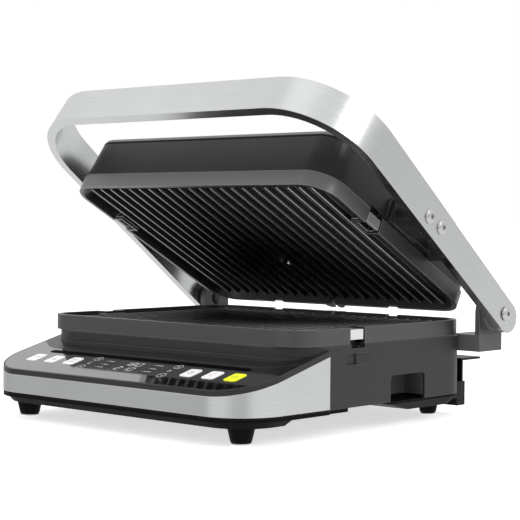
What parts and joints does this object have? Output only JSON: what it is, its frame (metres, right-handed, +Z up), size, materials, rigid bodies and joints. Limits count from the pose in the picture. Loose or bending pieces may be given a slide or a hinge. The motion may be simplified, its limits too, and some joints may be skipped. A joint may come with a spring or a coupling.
{
  "type": "electric indoor grill with lid",
  "caption": "Countertop contact grill: hinged lid propped open on a steel U handle, two ridged removable plates, sloping control deck with keys and display, and a rear drip tray.",
  "frame": {"origin": "on the surface the grill stands on, under the centre of its bounding box", "axes": "+X to the right of the user, +Y from the control deck to the hinges, +Z up"},
  "size_m": [0.3766, 0.333, 0.2873],
  "materials": {
    "housing": "dark grey, fine spark texture",
    "underside": "black, matt",
    "steel": "brushed lengthwise",
    "bezel": "black, satin",
    "panel": "black, high gloss",
    "display": "smoked window",
    "board": "green lacquer",
    "plate": "cast, black non-stick coating",
    "heater": "sheathed rod",
    "reflector": "bright sheet",
    "hinge": "black, satin",
    "screw": "polished",
    "latch": "light grey, satin",
    "latch_dark": "grey, satin",
    "pad": "pale, matt",
    "tray": "black, satin",
    "key_white": "white, satin",
    "key_yellow": "yellow-green, satin",
    "gland": "black"
  },
  "bodies": {
    "base": {"base_tray": "underside", "rear_pan": "underside", "tray_bay_liner": "underside", "grip_pocket_left": "housing", "grip_pocket_right": "housing", "base_housing": "housing", "steel_band": "steel", "deck_frame": "bezel", "deck_glass": "panel", "display_window": "display", "control_board": "board", "power_board": "board", "cord_gland": "gland", "front_foot_left": "underside", "front_foot_right": "underside", "rear_foot_left": "underside", "rear_foot_right": "underside", "foot_pads_front": "pad", "foot_pads_rear": "pad", "lower_plate": "plate", "lower_heater": "heater", "lower_reflector": "reflector", "hinge_block_left": "hinge", "hinge_block_right": "hinge", "hinge_screw_left": "screw", "hinge_screw_right": "screw"},
    "lid": {"handle": "steel", "lid_housing": "housing", "arm_bracket_left": "underside", "arm_bracket_right": "underside", "arm_screws_left": "screw", "arm_screws_right": "screw", "upper_plate": "plate", "upper_heater": "heater", "upper_reflector": "reflector"},
    "drip_tray": {"drip_tray": "tray", "tray_fascia": "tray"},
    "key_1": {"key_1": "key_white"},
    "key_2": {"key_2": "key_white"},
    "key_3": {"key_3": "key_white"},
    "key_4": {"key_4": "key_white"},
    "key_5": {"key_5": "key_white"},
    "key_6": {"key_6": "key_yellow"},
    "lower_latch_left": {"lower_latch_left": "latch"},
    "lower_latch_right": {"lower_latch_right": "latch"},
    "upper_latch_left": {"upper_latch_left": "latch_dark"},
    "upper_latch_right": {"upper_latch_right": "latch_dark"}
  },
  "joints": [
    {"name": "lid_hinge", "type": "hinge", "parent": "base", "child": "lid", "pos_m": [0, 0.1383, 0.0923], "axis": [-1, 0, 0], "range_deg": [-28.6, 66]},
    {"name": "drip_tray_slide", "type": "slide", "parent": "base", "child": "drip_tray", "axis": [0, 1, 0], "range_m": [0, 0.06]},
    {"name": "key_1_press", "type": "slide", "parent": "base", "child": "key_1", "axis": [0, 0.2554, -0.9668], "range_m": [0, 0.001], "stiffness_N_per_m": 800},
    {"name": "key_2_press", "type": "slide", "parent": "base", "child": "key_2", "axis": [0, 0.2554, -0.9668], "range_m": [0, 0.001], "stiffness_N_per_m": 800},
    {"name": "key_3_press", "type": "slide", "parent": "base", "child": "key_3", "axis": [0, 0.2554, -0.9668], "range_m": [0, 0.001], "stiffness_N_per_m": 800},
    {"name": "key_4_press", "type": "slide", "parent": "base", "child": "key_4", "axis": [0, 0.2554, -0.9668], "range_m": [0, 0.001], "stiffness_N_per_m": 800},
    {"name": "key_5_press", "type": "slide", "parent": "base", "child": "key_5", "axis": [0, 0.2554, -0.9668], "range_m": [0, 0.001], "stiffness_N_per_m": 800},
    {"name": "key_6_press", "type": "slide", "parent": "base", "child": "key_6", "axis": [0, 0.2554, -0.9668], "range_m": [0, 0.001], "stiffness_N_per_m": 800},
    {"name": "lower_latch_left_press", "type": "hinge", "parent": "base", "child": "lower_latch_left", "pos_m": [-0.1435, -0.0277, 0.0704], "axis": [0, 1, 0], "range_deg": [0, 14], "stiffness_Nm_per_rad": 0.4},
    {"name": "lower_latch_right_press", "type": "hinge", "parent": "base", "child": "lower_latch_right", "pos_m": [0.1435, -0.0277, 0.0704], "axis": [0, -1, 0], "range_deg": [0, 14], "stiffness_Nm_per_rad": 0.4},
    {"name": "upper_latch_left_press", "type": "hinge", "parent": "lid", "child": "upper_latch_left", "pos_m": [-0.1435, -0.00194, 0.18186], "axis": [0, -0.878, 0.4787], "range_deg": [0, 14], "stiffness_Nm_per_rad": 0.4},
    {"name": "upper_latch_right_press", "type": "hinge", "parent": "lid", "child": "upper_latch_right", "pos_m": [0.1435, -0.00194, 0.18186], "axis": [0, 0.878, -0.4787], "range_deg": [0, 14], "stiffness_Nm_per_rad": 0.4}
  ]
}
